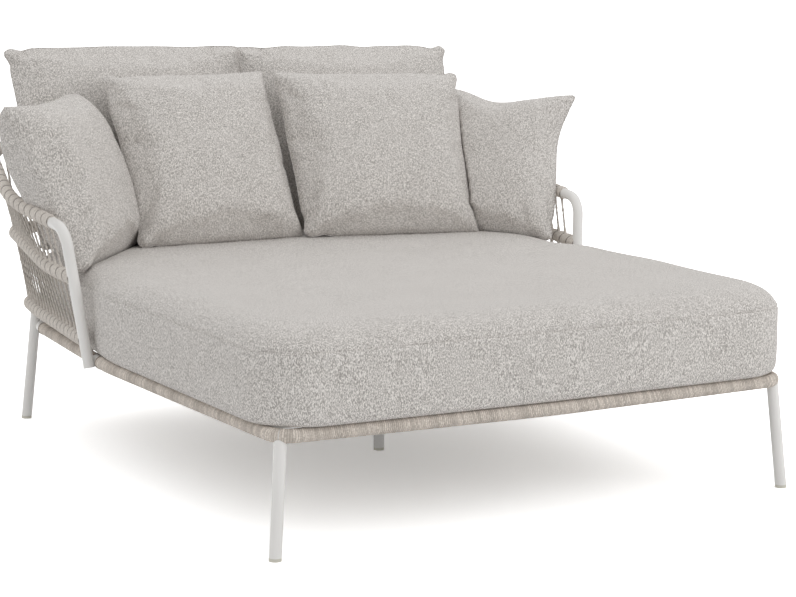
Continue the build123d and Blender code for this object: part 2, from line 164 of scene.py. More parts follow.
def zippedEnd(count):
    # faces straight across an end ring, from one half of it to the other, and a triangle at each tip
    half = count // 2
    k = np.arange(1, half - 1)
    tips = np.array([[0, 1, count - 1], [half - 1, half, half + 1]])
    return np.stack([k, k + 1, count - k - 1, count - k], 1), tips


def ringMesh(name, grids, lengths, zipped=False):
    # closed tubes: each grid is rings by points round. An end gets a middle point, or where it is
    # zipped, faces straight across it
    points, quads, triangles, quadUv, triangleUv = [], [], [], [], []
    base = 0
    for grid, places in zip(grids, lengths):
        rings, count = grid.shape[:2]
        walls, row, col = wallQuads(rings, count)
        quads.append(base + walls)
        u = np.stack([places[row], places[row + 1], places[row + 1], places[row]], 1)
        v = np.stack([col, col, col + 1, col + 1], 1) / count
        quadUv.append(np.stack([u, v], -1).reshape(-1, 2))
        points.append(grid.reshape(-1, 3))
        lastRing, middle = base + (rings - 1) * count, base + rings * count
        if zipped:
            across, tips = zippedEnd(count)
            for ring, flip, place in ((base, 1, places[0]), (lastRing, -1, places[-1])):
                quads.append(ring + across[:, ::flip])
                triangles.append(ring + tips[:, ::flip])
                quadUv.append(np.stack([np.full(across.size, place), across.ravel() / count], -1))
                triangleUv.append(np.stack([np.full(tips.size, place), tips.ravel() / count], -1))
            base = middle
        else:
            points += [grid[:1].mean(1), grid[-1:].mean(1)]
            col = np.arange(count)
            following = (col + 1) % count
            triangles.append(np.stack([np.full(count, middle), base + col, base + following], 1))
            triangles.append(np.stack([np.full(count, middle + 1), lastRing + following, lastRing + col], 1))
            share = np.stack([col, col, col + 1], 1) / count
            for place in (places[0], places[-1]):
                triangleUv.append(np.stack([np.full(share.shape, place), share], -1).reshape(-1, 2))
            base = middle + 2
    return meshOf(name, np.concatenate(points), np.concatenate(quads), np.concatenate(triangles),
                  np.concatenate(quadUv + triangleUv))


def hoopMesh(name, loop, out, look):
    # a thin round cord that follows a closed loop of points; out is a way square to it at each point
    along = unit(np.roll(loop, -1, 0) - np.roll(loop, 1, 0))
    up = unit(np.cross(out, along))
    turn = np.linspace(0, full, look["pointsRound"], endpoint=False)[None, :, None]
    ring = np.cos(turn) * np.cross(along, up)[:, None] + np.sin(turn) * up[:, None]
    grid = loop[:, None] + look["radius"] * ring
    return meshOf(name, grid.reshape(-1, 3), wallQuads(len(loop), look["pointsRound"], closed=True)[0])


def soften(piece):
    # one level of smoothing, the same in the view and in the render
    smooth = piece.modifiers.new("smooth", "SUBSURF")
    smooth.levels = smooth.render_levels = 1


def settle(piece, finish, body, slot, *nodes):
    # gives a piece its finish, its body and the CAD nodes that it stands for; the slot is not used
    piece.data.materials.append(finish)
    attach(piece, body)
    if nodes:
        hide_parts(*nodes)
    return piece


# materials
class Value:
    # one output of a material's node; the operators add Math nodes
    def __init__(self, shader, socket):
        self.shader, self.socket = shader, socket

    def maths(self, operation, first, second=0.0):
        return self.shader.node("ShaderNodeMath", {"operation": operation}, {0: first, 1: second})

    def __add__(self, other):
        return self.maths("ADD", self, other)

    def __sub__(self, other):
        return self.maths("SUBTRACT", self, other)

    def __rsub__(self, other):
        return self.maths("SUBTRACT", other, self)

    def __mul__(self, other):
        return self.maths("MULTIPLY", self, other)

    def __truediv__(self, other):
        return self.maths("DIVIDE", self, other)

    __radd__ = __add__

    def fraction(self):
        return self.maths("FRACT", self)

    def size(self):
        return self.maths("ABSOLUTE", self)

    def wave(self):
        return self.maths("SINE", self)

    def lottery(self):
        # a number from 0 to 1 drawn anew for each whole part
        return self.shader.node("ShaderNodeTexWhiteNoise", {"noise_dimensions": "1D"},
                                {"W": self.maths("FLOOR", self)})

    def within(self, low, high):
        # 0 below low, 1 above high
        return self.shader.node(
            "ShaderNodeMapRange", {"clamp": True, "interpolation_type": "SMOOTHSTEP"},
            {"Value": self, "From Min": low, "From Max": high})


class Shader:
    # a material or a world under construction
    def __init__(self, holder):
        self.holder = holder
        holder.use_nodes = True
        self.tree = holder.node_tree
        self.tree.nodes.clear()

    def node(self, kind, settings=None, sockets=None, output=0):
        made = self.tree.nodes.new(kind)
        for key, value in (settings or {}).items():
            setattr(made, key, value)
        for key, value in (sockets or {}).items():
            if isinstance(value, Value):
                self.tree.links.new(value.socket, made.inputs[key])
            else:
                made.inputs[key].default_value = value
        return Value(self, made.outputs[output]) if len(made.outputs) else None

    def place(self):
        return self.node("ShaderNodeTexCoord", output="Object")

    def surface(self):
        # length along and share round, from the piece's own UV map
        uv = self.node("ShaderNodeUVMap", {"uv_map": "surface"})
        along, share = (self.node("ShaderNodeSeparateXYZ", None, {0: uv}, output=axis) for axis in (0, 1))
        return along, share, uv

    def seenDirectly(self):
        # 1 for what the camera meets straight or in a gloss, 0 for all other light
        rays = ("Is Camera Ray", "Is Glossy Ray")
        camera, gloss = (self.node("ShaderNodeLightPath", output=ray) for ray in rays)
        return camera.maths("MAXIMUM", camera, gloss)

    def noise(self, where, scale, detail=2.0, roughness=0.5):
        return self.node("ShaderNodeTexNoise", {"noise_dimensions": "3D"},
                         {"Vector": where, "Scale": scale, "Detail": detail, "Roughness": roughness})

    def stretched(self, where, scale):
        return self.node("ShaderNodeMapping", {"vector_type": "POINT"}, {"Vector": where, "Scale": scale})

    def mix(self, share, first, second):
        return self.node("ShaderNodeMix", {"data_type": "RGBA", "blend_type": "MIX", "clamp_factor": True},
                         {0: share, 6: first, 7: second}, output=2)

    def bump(self, height, look):
        return self.node("ShaderNodeBump", None,
                         {"Height": height, "Strength": look["bump"], "Distance": look["bumpHeight"]})

    def close(self, sockets):
        shaded = self.node("ShaderNodeBsdfPrincipled", None, sockets)
        self.node("ShaderNodeOutputMaterial", None, {"Surface": shaded})
        return self.holder


def colour(tone, level=1.0):
    # a tone made lighter or darker by a factor, with full alpha
    return tuple(channel * level for channel in tone) + (1.0,)


def wovenFabric(name, look):
    # mixed light and dark yarn: small flecks drawn out along the warp, broad soft clouds, weave bump
    made = Shader(bpy.data.materials.new(name))
    where = made.place()
    flecks = made.noise(made.stretched(where, look["fleckStretch"]), look["fleckScale"], 3.0, 0.65)
    grain = made.noise(where, look["grainScale"], 2.0, 0.6)
    light = (flecks * look["fleckShare"] + grain * (1 - look["fleckShare"])).within(*look["yarnRange"])
    yarn = made.mix(light, colour(look["darkYarn"]), colour(look["lightYarn"]))
    yarn = made.mix(flecks.within(*look["slubRange"]) * look["slubShare"], yarn, colour(look["slubYarn"]))
    cloudy = made.noise(where, look["cloudScale"]).within(*look["cloudRange"])
    yarn = made.mix(cloudy * look["cloudShare"], yarn, colour(look["lightYarn"], look["cloudLevel"]))
    height = light * look["weaveShare"] + grain * (1 - look["weaveShare"])
    return made.close({"Base Color": yarn, "Roughness": look["roughness"] + light * look["roughSpread"],
                       "Sheen Weight": 0.12, "Sheen Roughness": 0.5, "Specular IOR Level": 0.25,
                       "Normal": made.bump(height, look)})


def woundCord(name, look):
    # turns of cord: painted shade in the grooves between turns, darker painted shade in the creases between
    # groups, fibres along each turn
    made = Shader(bpy.data.materials.new(name))
    along, share, uv = made.surface()
    winding = along / look["pitch"] + share * look["lean"]
    # the grooves between turns get painted shade: this mask marks them, and it also lowers the bump there
    shadedGroove = ((winding.fraction() - 0.5).size()).within(look["grooveFrom"], 0.5)
    fibres = made.noise(made.stretched(uv, (look["fibreAcross"], look["fibreAlong"], 1.0)), 1.0, 3.0, 0.6)
    flecks = made.noise(made.place(), look["fleckScale"], 3.0, 0.7)
    tone = made.mix(flecks.within(*look["fleckRange"]), colour(look["dark"]), colour(look["light"]))
    bright = fibres.within(*look["fibreRange"]) * look["fibreShare"]
    tone = made.mix(bright, tone, colour(look["light"], look["fibreLevel"]))
    tone = made.mix(winding.lottery() * look["turnShare"], tone, colour(look["dark"], look["turnLevel"]))
    # painted shade: the grooves are darkened towards a fixed dark colour
    tone = made.mix(shadedGroove * look["grooveShare"], tone, colour(look["shadedGroove"]))
    if "bandPitch" in look:
        leaned = along / look["bandPitch"] + (share * full).wave() * look["bandLean"]
        # painted shade: the creases between the rope's bands are darkened below the groove colour
        creaseShade = (leaned.fraction() - 0.5).size().within(look["bandFrom"], 0.5)
        tone = made.mix(creaseShade * look["bandShare"], tone, colour(look["shadedGroove"], look["bandLevel"]))
    height = (1 - shadedGroove) * look["turnHeight"] + fibres * (1 - look["turnHeight"])
    return made.close({"Base Color": tone, "Roughness": look["roughness"] + fibres * look["roughSpread"],
                       "Sheen Weight": 0.08, "Specular IOR Level": 0.25, "Normal": made.bump(height, look)})


def paintedTube(name, look):
    # powder paint: very slight mottling and orange peel
    made = Shader(bpy.data.materials.new(name))
    where = made.place()
    peel = made.noise(where, look["peelScale"])
    cloud = made.noise(where, look["cloudScale"]).within(*look["cloudRange"])
    tone = made.mix(cloud, colour(look["tone"]), colour(look["tone"], look["fade"]))
    return made.close({"Base Color": tone, "Roughness": look["roughness"] + peel * look["roughSpread"],
                       "Specular IOR Level": look["gloss"], "Normal": made.bump(peel, look)})


fabricLook = {
    "fleckStretch": (1.0, 1.0, 0.42), "fleckScale": 470.0, "grainScale": 1000.0, "fleckShare": 0.62,
    "yarnRange": (0.465, 0.535), "darkYarn": (0.345, 0.322, 0.300), "lightYarn": (0.855, 0.820, 0.785),
    "slubRange": (0.62, 0.72), "slubShare": 0.5, "slubYarn": (0.88, 0.855, 0.825),
    "cloudScale": 9.0, "cloudRange": (0.35, 0.65), "cloudShare": 0.10, "cloudLevel": 0.9,
    "roughness": 0.86, "roughSpread": 0.08, "weaveShare": 0.6, "bump": 0.35, "bumpHeight": 0.0012,
}
fibreLook = {
    "fleckRange": (0.36, 0.64), "fibreRange": (0.42, 0.7), "fibreShare": 0.35, "fibreLevel": 1.12,
    # the colour of the painted shade in the grooves between turns, and, made darker, in the creases between
    # bands
    "shadedGroove": (0.200, 0.165, 0.140), "turnHeight": 0.7, "roughness": 0.82, "roughSpread": 0.12,
    "bumpHeight": 0.0006,
}
cordLook = {
    **fibreLook, "pitch": 0.005, "lean": -1.0, "grooveFrom": 0.30, "grooveShare": 0.55,
    "fibreAcross": 900.0, "fibreAlong": 40.0, "fleckScale": 260.0, "bump": 0.5,
    "dark": (0.570, 0.505, 0.445), "light": (0.870, 0.800, 0.725), "turnShare": 0.50, "turnLevel": 0.60,
}
ropeLook = {
    **fibreLook, "pitch": 0.0067, "lean": -1.0, "grooveFrom": 0.38, "grooveShare": 0.16,
    "fibreAcross": 700.0, "fibreAlong": 30.0, "fleckScale": 240.0, "bump": 0.35,
    "dark": (0.540, 0.495, 0.450), "light": (0.780, 0.730, 0.670), "turnShare": 0.18, "turnLevel": 0.7,
    # bandShare and bandLevel: how strong and how dark the painted shade in the creases between bands is
    "bandPitch": 0.040, "bandLean": 0.16, "bandFrom": 0.40, "bandShare": 0.95, "bandLevel": 0.6,
}
strandLook = {
    **fibreLook, "pitch": 0.011, "lean": 3.0, "grooveFrom": 0.33, "grooveShare": 0.35,
    "fibreAcross": 500.0, "fibreAlong": 30.0, "fleckScale": 260.0, "bump": 0.4,
    "dark": (0.540, 0.495, 0.450), "light": (0.770, 0.720, 0.660), "turnShare": 0.2, "turnLevel": 0.8,
    # the strands' painted shade in the grooves of their twist, a little lighter
    "shadedGroove": (0.210, 0.175, 0.150),
}
paintLook = {"tone": (0.825, 0.812, 0.790), "fade": 0.96, "peelScale": 700.0, "cloudScale": 6.0,
             "cloudRange": (0.35, 0.65), "roughness": 0.38, "roughSpread": 0.1, "gloss": 0.4,
             "bump": 0.06, "bumpHeight": 0.0004}
glideLook = {**paintLook, "tone": (0.700, 0.680, 0.600), "fade": 0.9, "peelScale": 300.0,
             "cloudScale": 60.0, "roughness": 0.5, "bump": 0.1, "bumpHeight": 0.0005}

fabricFinish = wovenFabric("woven fabric", fabricLook)
cordFinish = woundCord("wound cord", cordLook)
ropeFinish = woundCord("wound rope", ropeLook)
strandFinish = woundCord("rope strand", strandLook)
paintFinish = paintedTube("pale paint", paintLook)
glideFinish = paintedTube("pale plastic", glideLook)
for nodeName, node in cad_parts.items():
    for materialSlot in node.material_slots:
        materialSlot.material = glideFinish if "glide" in nodeName else paintFinish
print("materials made")

# seat rail: fine cord wound round the tube, in five lengths
seatRail = {
    "height": 0.282, "frontCorner": (0.712, -0.838), "frontBow": 0.028, "sideBow": (0.750, 0.110),
    "rearCorner": (0.700, 0.812), "cornerBend": 0.050, "bowBend": 0.8, "longBend": 3.0, "uprightY": 0.190,
    "ringGap": 0.027, "rearEnd": 0.722,
}
cordTurns = {"pitch": 0.005, "core": 0.0156, "ridge": 0.0016, "stepsPerTurn": 5, "pointsRound": 26,
             "ridgePower": 0.6, "waver": 0.0006, "waverLength": 0.13, "mitreGap": 0.0006}

railLift = seatRail["height"]
frontCorner = (*seatRail["frontCorner"], railLift)
sideBow = (*seatRail["sideBow"], railLift)
rearCorner = (*seatRail["rearCorner"], railLift)
frontMiddle = (0.0, frontCorner[1] - seatRail["frontBow"], railLift)
frontWrapEnd = between(sideBow, rearCorner, seatRail["uprightY"] - seatRail["ringGap"])
rearWrapStart = between(sideBow, rearCorner, seatRail["uprightY"] + seatRail["ringGap"])
rearWrapEnd = between(sideBow, rearCorner, seatRail["rearEnd"])


def woundGrid(line, places):
    # radius = core + ridge * |sin(pi * (turns along - share round))| ^ power, with a slow waver
    share = np.arange(cordTurns["pointsRound"])[None] / cordTurns["pointsRound"]
    wavered = places + cordTurns["waver"] * np.sin(full * places / cordTurns["waverLength"])
    phase = wavered[:, None] / cordTurns["pitch"] - share
    ridges = np.abs(np.sin(math.pi * phase)) ** cordTurns["ridgePower"]
    return tubeGrid(line, cordTurns["core"] + cordTurns["ridge"] * ridges)


def cutAtCorner(line, places, corner, keepAfter):
    # the line up to, or from, its nearest point to a corner
    nearest = int(np.argmin(np.linalg.norm(line - np.array(corner), axis=1)))
    spare = max(1, round(cordTurns["mitreGap"] / (places[1] - places[0])))
    if keepAfter:
        return line[nearest + spare:], places[nearest + spare:]
    return line[:nearest - spare + 1], places[:nearest - spare + 1]


def windCord(name, line, places, node):
    # one length of cord round the tube, in place of its CAD sleeve
    settle(ringMesh(name, [woundGrid(line, places)], [places]), cordFinish, "frame", "seat_cord", node)


cordStep = cordTurns["pitch"] / cordTurns["stepsPerTurn"]
wholeFront = mirrored([sideBow, frontCorner]) + [frontMiddle, frontCorner, sideBow]
frontBends = [seatRail["cornerBend"], seatRail["longBend"], seatRail["cornerBend"]]
line, places = bentLine(wholeFront, frontBends, cordStep)
line, places = cutAtCorner(line, places, wholeFront[1], True)
line, places = cutAtCorner(line, places, frontCorner, False)
windCord("frontCord", line, places, "front_rail_wrap")
for side, sign in sides.items():
    frontRoute, rearRoute = [frontMiddle, frontCorner, sideBow, frontWrapEnd], [rearWrapStart, rearWrapEnd]
    if sign < 0:
        frontRoute, rearRoute = mirrored(frontRoute), mirrored(rearRoute)
    line, places = bentLine(frontRoute, [seatRail["cornerBend"], seatRail["bowBend"]], cordStep)
    line, places = cutAtCorner(line, places, frontRoute[1], True)
    windCord(f"sideCord-{side}", line, places, f"{side}_rail_wrap_front")
    line, places = bentLine(rearRoute, [], cordStep)
    windCord(f"rearCord-{side}", line, places, f"{side}_rail_wrap_rear")
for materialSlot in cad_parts["wrap_end_rings"].material_slots:
    materialSlot.material = cordFinish
print("seat rail wound")

# backrest: rope wound round three rails in bands, one band for each strand
backRails = {
    "knee": (0.812, 0.246, 0.633), "footOut": 0.0295, "wrapStart": 0.082, "backBow": 0.008,
    "topBow": (0.832, 0.640, 0.672), "topCorner": (0.772, 1.002, 0.795), "topBend": 0.140,
    "midHeight": 0.50203, "midSlope": 0.063, "midBowOut": 0.0094, "midBowY": 0.400,
    "midCorner": (0.722, 0.960), "midBend": 0.100,
    "lowHeight": 0.340, "lowBowOut": -0.050, "lowBowY": 0.700, "lowCorner": (0.698, 0.904), "lowBend": 0.080,
}
ropeBands = {"pitch": 0.040, "core": 0.0151, "swell": 0.0035, "swellPower": 0.45, "lean": 0.16,
             "turnPitch": 0.0067, "turnRidge": 0.0003, "stepsPerBand": 16, "pointsRound": 24,
             "measureStep": 0.01}

knee = backRails["knee"]
foot = between(sideBow, rearCorner, seatRail["uprightY"])
foot = (foot[0] + backRails["footOut"], *foot[1:])


def onMidRail(x, y):
    # the mid rail climbs evenly towards the back
    return (x, y, backRails["midHeight"] + backRails["midSlope"] * (y - midStart[1]))


topBow, topCorner = backRails["topBow"], backRails["topCorner"]
topStart = between(knee, topBow, knee[1] + backRails["wrapStart"])
midStart, lowStart = (between(foot, knee, backRails[key], axis=2) for key in ("midHeight", "lowHeight"))
midBow = onMidRail(midStart[0] + backRails["midBowOut"], backRails["midBowY"])
midCorner = onMidRail(*backRails["midCorner"])
lowBow = (lowStart[0] + backRails["lowBowOut"], backRails["lowBowY"], backRails["lowHeight"])
lowCorner = (*backRails["lowCorner"], backRails["lowHeight"])


def railHalf(start, bow, corner):
    # a rail's bends from the right upright to the middle of the back
    return [start, bow, corner, (0.0, corner[1] + backRails["backBow"], corner[2])]


def wholeRail(half, bend, step):
    # one rail from the right arm round the back to the left arm
    route = half + mirrored(half[:-1])[::-1]
    return bentLine(route, [seatRail["bowBend"], bend, seatRail["longBend"], bend, seatRail["bowBend"]], step)


def bandGrid(line, places, count):
    # radius = core + swell * |sin(pi * bands)| ^ power, and small turns on top; the bands lean a little
    share = np.arange(ropeBands["pointsRound"])[None] / ropeBands["pointsRound"]
    phase = places[:, None] / places[-1] * count + ropeBands["lean"] * np.sin(full * share)
    turns = np.abs(np.sin(math.pi * (places[:, None] / ropeBands["turnPitch"] - share)))
    swell = np.abs(np.sin(math.pi * phase)) ** ropeBands["swellPower"]
    return tubeGrid(line, ropeBands["core"] + ropeBands["swell"] * swell + ropeBands["turnRidge"] * turns)


railHalves = {
    "top": (railHalf(topStart, topBow, topCorner), backRails["topBend"]),
    "mid": (railHalf(midStart, midBow, midCorner), backRails["midBend"]),
    "low": (railHalf(lowStart, lowBow, lowCorner), backRails["lowBend"]),
}
topLength = wholeRail(*railHalves["top"], ropeBands["measureStep"])[1][-1]
bandCount = round(topLength / ropeBands["pitch"])
for rail, (half, bend) in railHalves.items():
    length = wholeRail(half, bend, ropeBands["measureStep"])[1][-1]
    step = length / bandCount / ropeBands["stepsPerBand"]
    line, places = wholeRail(half, bend, step)
    bandLengths = places / places[-1] * bandCount * ropeBands["pitch"]
    piece = ringMesh(f"{rail}RailRope", [bandGrid(line, places, bandCount)], [bandLengths])
    settle(piece, ropeFinish, "frame", "back_rope",
           f"{rail}_rail_left_wrap", f"{rail}_rail_back_wrap", f"{rail}_rail_right_wrap")
print("back rails wound")

# strands: one twisted run at each band, between neighbouring rails
strandRuns = {"radius": 0.0037, "twistRidge": 0.0005, "twists": 3.0, "rings": 13, "pointsRound": 8,
              "reach": 0.011, "knot": 0.0016, "knotPlace": 0.0195, "knotLength": 0.007, "mapLength": 0.17,
              "measureStep": 0.002, "twistSide": (1.0, 0.31, 0.0), "backFrom": 0.19,
              "spare": {"top": 0.0, "mid": 0.050, "low": 0.060}}
strandNodes = {"right": ["right_arm_strands"], "left": ["left_arm_strands"],
               "back": ["back_strands", "left_corner_strands", "right_corner_strands"]}


def railStations(half, bend, spare):
    # evenly spaced places along a rail, with a spare length at each end so that the runs stand upright
    line, places = wholeRail(half, bend, strandRuns["measureStep"])
    spots = spare + (np.arange(bandCount) + 0.5) / bandCount * (places[-1] - 2 * spare)
    return alongLine(line, places, spots)


stations = {rail: railStations(*spec, strandRuns["spare"][rail]) for rail, spec in railHalves.items()}
strandGrids = {"right": [], "back": [], "left": []}
turn = np.linspace(0, full, strandRuns["pointsRound"], endpoint=False)
rise = (1 - np.cos(np.linspace(0, math.pi, strandRuns["rings"]))) / 2
for upper, lower in (("top", "mid"), ("mid", "low")):
    run = unit(stations[lower] - stations[upper])
    first = stations[upper] + run * strandRuns["reach"]
    last = stations[lower] - run * strandRuns["reach"]
    for index in range(bandCount):
        # radius = own radius + ridge * cos(2 * turn) + the knot's bell beside each rail
        length = np.linalg.norm(last[index] - first[index])
        line = first[index] + rise[:, None] * (last[index] - first[index])
        fromEnd = np.minimum(rise, 1 - rise) * length + strandRuns["reach"] - strandRuns["knotPlace"]
        thicker = strandRuns["knot"] * np.exp(-((fromEnd / strandRuns["knotLength"]) ** 2))
        out = unit(np.cross(run[index], strandRuns["twistSide"]))
        up = np.cross(out, run[index])
        twist = turn[None] + full * rise[:, None] * strandRuns["twists"]
        radii = strandRuns["radius"] + thicker[:, None] + strandRuns["twistRidge"] * np.cos(2 * turn[None])
        ring = np.cos(twist)[..., None] * out + np.sin(twist)[..., None] * up
        x, y = stations[upper][index, :2]
        group = "back" if y > topCorner[1] - strandRuns["backFrom"] else ("right" if x > 0 else "left")
        strandGrids[group].append(line[:, None] + radii[..., None] * ring)
for group, grids in strandGrids.items():
    piece = ringMesh(f"ropeStrands-{group}", grids, [rise * strandRuns["mapLength"]] * len(grids))
    settle(piece, strandFinish, "frame", "back_rope", *strandNodes[group])
print("strands strung")

# cushions and pillows
seatPad = {
    "half": [(0.748, -0.872), (0.770, 0.060), (0.672, 0.871)], "bends": [0.150, 0.700, 0.090],
    "frontBow": 0.014, "outlineStep": 0.004, "pointsRound": 440,
    "bottom": 0.2993, "seam": 0.474, "crown": 0.5195, "edgeRound": 0.014, "crownRun": 0.330,
    "pressShare": 0.25, "pressFrom": 0.060,
    "sideStops": [(0.0, 1.0), (0.05, 0.36), (0.16, 0.1), (0.5, 0.0), (0.85, 0.0), (1.0, 0.05)],
    "crownStops": [(0.0, 0.0), (0.055, 0.16), (0.15, 0.42), (0.34, 0.7), (0.62, 0.9), (1.0, 1.0)],
    "sideRows": [(0, 0.2, 9), (0.2, 0.9, 16), (0.9, 1, 7)], "crownRows": [(0, 0.03, 7), (0.03, 0.33, 21)],
    "underRows": (0.06, 1, 22), "overRows": (1, 0.06, 26),
    "seamPinch": 0.0035, "seamWidth": 0.006, "pucker": 0.0011, "puckerLength": 0.075, "puckerDrift": 0.41,
    "puckerShift": 2.0, "puckerReach": 0.040, "dome": 0.009, "domeMiddle": -0.42, "domeReach": 0.55,
    "domePower": 4,
    "slack": 0.0022, "slackLength": 0.30, "slackGap": 0.01, "slackFrom": 0.31, "topFade": 0.03, "seed": 5,
    "fullUnder": 0.030, "fullFrom": 0.15, "fullRun": 0.2, "fullRise": 0.02, "fullFade": 0.07, "fill": 0.8,
}
seamCord = {"radius": 0.0013, "pointsRound": 6}
seatSeamCord = {"radius": 0.0017, "pointsRound": 6}


def seatOutline():
    # the pad's plan outline at even steps, from the middle of its front edge round
    half = seatPad["half"]
    front = (0.0, half[0][1] - seatPad["frontBow"])
    points = [front] + half + [(-x, y) for x, y in half[::-1]] + [front]
    bends = seatPad["bends"] + seatPad["bends"][::-1]
    line, places = bentLine([(x, y, 0.0) for x, y in points], bends, seatPad["outlineStep"])
    spots = np.linspace(0, places[-1], seatPad["pointsRound"], endpoint=False)
    return alongLine(line[:, :2], places, spots), spots


def softNoise(points, length, seed):
    # smooth unevenness: the mean of some sine waves in seeded directions, about as long as given
    waves, lengthRange = 9, (0.7, 1.5)
    rng = np.random.default_rng(seed)
    total = np.zeros(len(points))
    for _ in range(waves):
        way = unit(rng.normal(size=3)) * full / (length * rng.uniform(*lengthRange))
        total += np.sin(points @ way + rng.uniform(0, full))
    return total / waves


def spaced(spans):
    # even steps in each span, and a span's last value is the next one's first
    parts = [np.linspace(*span) for span in spans]
    return np.concatenate([part[:-1] for part in parts[:-1]] + parts[-1:])


def seatGrid(outline, middleY):
    # rings up the side and over the crown, closed towards the middle below and above: point =
    # middle + (1 - inset / half size) * outline. The crown's inset applies in full at the rear,
    # where pillows press, and by a share in front
    rear = seatPad["half"][-1][1]
    halfWide, halfDeep = seatPad["half"][1][0], rear - middleY
    shares, insets = spaced(seatPad["sideRows"]), spaced(seatPad["crownRows"])[1:]
    sideInset = smoothCurve(shares, *np.transpose(seatPad["sideStops"])) * seatPad["edgeRound"]
    sideRise = seatPad["bottom"] + (seatPad["seam"] - seatPad["bottom"]) * shares
    crownShare = smoothCurve(insets / seatPad["crownRun"], *np.transpose(seatPad["crownStops"]))
    crownRise = seatPad["seam"] + (seatPad["crown"] - seatPad["seam"]) * crownShare
    rearward = np.clip((outline[:, 1] - seatPad["pressFrom"]) / (rear - seatPad["pressFrom"]), 0, 1)
    press = seatPad["pressShare"] + (1 - seatPad["pressShare"]) * rearward
    crownInset = (insets + sideInset[-1])[:, None] * press[None]
    under, over = np.linspace(*seatPad["underRows"])[:-1], np.linspace(*seatPad["overRows"])[1:]
    lids = (len(under), len(over))
    rises = np.pad(np.concatenate([sideRise, crownRise]), lids, "edge")
    drawn = np.concatenate([np.repeat(sideInset[:, None], len(outline), 1), crownInset])
    drawn = np.pad(drawn, (lids, (0, 0)), "edge")
    shrink = np.concatenate([under, np.ones(len(shares) + len(insets)), over])[:, None]
    grid = np.empty((len(rises), len(outline), 3))
    grid[..., 0] = shrink * (1 - drawn / halfWide) * outline[None, :, 0]
    grid[..., 1] = middleY + shrink * (1 - drawn / halfDeep) * (outline[None, :, 1] - middleY)
    grid[..., 2] = rises[:, None]
    return grid, len(under) + len(shares) - 1


def giveWay(tops):
    # the pad is full up to the pillows' feet, and stays clear of the covers that stand on it
    rise = tops[:, 2] - seatPad["seam"]
    foot = np.clip((tops[:, 1] - seatPad["fullFrom"]) / seatPad["fullRun"], 0, 1)
    foot = foot * np.clip(rise / seatPad["fullRise"], 0, 1)
    tops[:, 2] += seatPad["fullUnder"] * foot * (1 - rise / seatPad["fullFade"])
    below = tops * (1, 1, 0) + (0, 0, seatPad["bottom"])
    reached = seatPad["bottom"] + roomAlong(below, (0, 0, 1)) - pillowCloth["clearance"]
    tops[:, 2] = np.minimum(tops[:, 2], np.maximum(reached, seatPad["seam"]))
    return tops


def makeSeatPad():
    # the pad's grid with its seam pinched in, puckers along the seam, a dome in front and slack cloth
    outline, spots = seatOutline()
    middleY = (seatPad["half"][-1][1] + seatPad["half"][0][1]) / 2
    grid, seamRow = seatGrid(outline, middleY)
    fromSeam = grid[..., 2] - seatPad["seam"]
    profile = np.concatenate([[0], np.cumsum(np.linalg.norm(np.diff(grid[:, 0], axis=0), axis=1))])
    away = np.abs(profile - profile[seamRow])[:, None]
    outWay = np.zeros_like(grid)
    outWay[..., :2] = unit(outline - (0, middleY))
    drift = seatPad["puckerShift"] * np.sin(full * spots / seatPad["puckerDrift"])
    wave = np.sin(full * spots / seatPad["puckerLength"] + drift)[None]
    pinch = -seatPad["seamPinch"] * np.exp(-((away / seatPad["seamWidth"]) ** 2))
    pucker = seatPad["pucker"] * wave * np.exp(-away / seatPad["puckerReach"]) * (away > 0)
    grid += outWay * (pinch + pucker)[..., None]
    # the open half of the seat swells a little higher than where the pillows stand
    fromDome = np.abs(grid[..., 1] - seatPad["domeMiddle"]) / seatPad["domeReach"]
    domed = np.exp(-(fromDome ** seatPad["domePower"]))
    grid[..., 2] += seatPad["dome"] * domed * np.clip(fromSeam / (seatPad["crown"] - seatPad["seam"]), 0, 1)
    soft = softNoise(grid.reshape(-1, 3), seatPad["slackLength"], seatPad["seed"]).reshape(grid.shape[:2])
    soft = soft * seatPad["slack"]
    topShare = np.clip(fromSeam / seatPad["topFade"], 0, 1)
    grid[..., 2] += (soft - seatPad["slack"] / 2) * topShare
    onSide = (1 - topShare) * (away > seatPad["slackGap"]) * (grid[..., 2] > seatPad["slackFrom"])
    grid += outWay * (soft * onSide)[..., None]
    raised = grid[..., 2] > seatPad["seam"]
    grid[raised] = giveWay(grid[raised])
    return ringMesh("seatCushion", [grid], [profile], zipped=True), grid[seamRow]


def pillowFrame(centre, turn, lean, roll):
    # the pillow's own ways: across, back and upward, and its centre
    turn, lean, roll = (math.radians(angle) for angle in (turn, lean, roll))
    across = np.array([math.cos(turn), math.sin(turn), 0])
    level = np.array([-math.sin(turn), math.cos(turn), 0])
    upward = level * math.sin(lean) + np.array([0, 0, 1]) * math.cos(lean)
    rolledAcross = across * math.cos(roll) + upward * math.sin(roll)
    rolledUpward = upward * math.cos(roll) - across * math.sin(roll)
    return np.stack([rolledAcross, np.cross(rolledUpward, rolledAcross), rolledUpward]), np.array(centre)


seamHalf = 0.003
lensStops = [(-1.0, 0.0), (-0.95, 0.30), (-0.8, 0.60), (-0.5, 0.88), (0.0, 1.0),
             (0.5, 0.88), (0.8, 0.60), (0.95, 0.30), (1.0, 0.0)]


def lowestPoint(high, thick, lean):
    # how far a leaned pillow's lowest point lies below its centre
    sunk, upright = math.sin(math.radians(lean)), math.cos(math.radians(lean))
    return max((seamHalf + (thick / 2 - seamHalf) * fullness) * sunk - level * high / 2 * upright
               for level, fullness in lensStops)


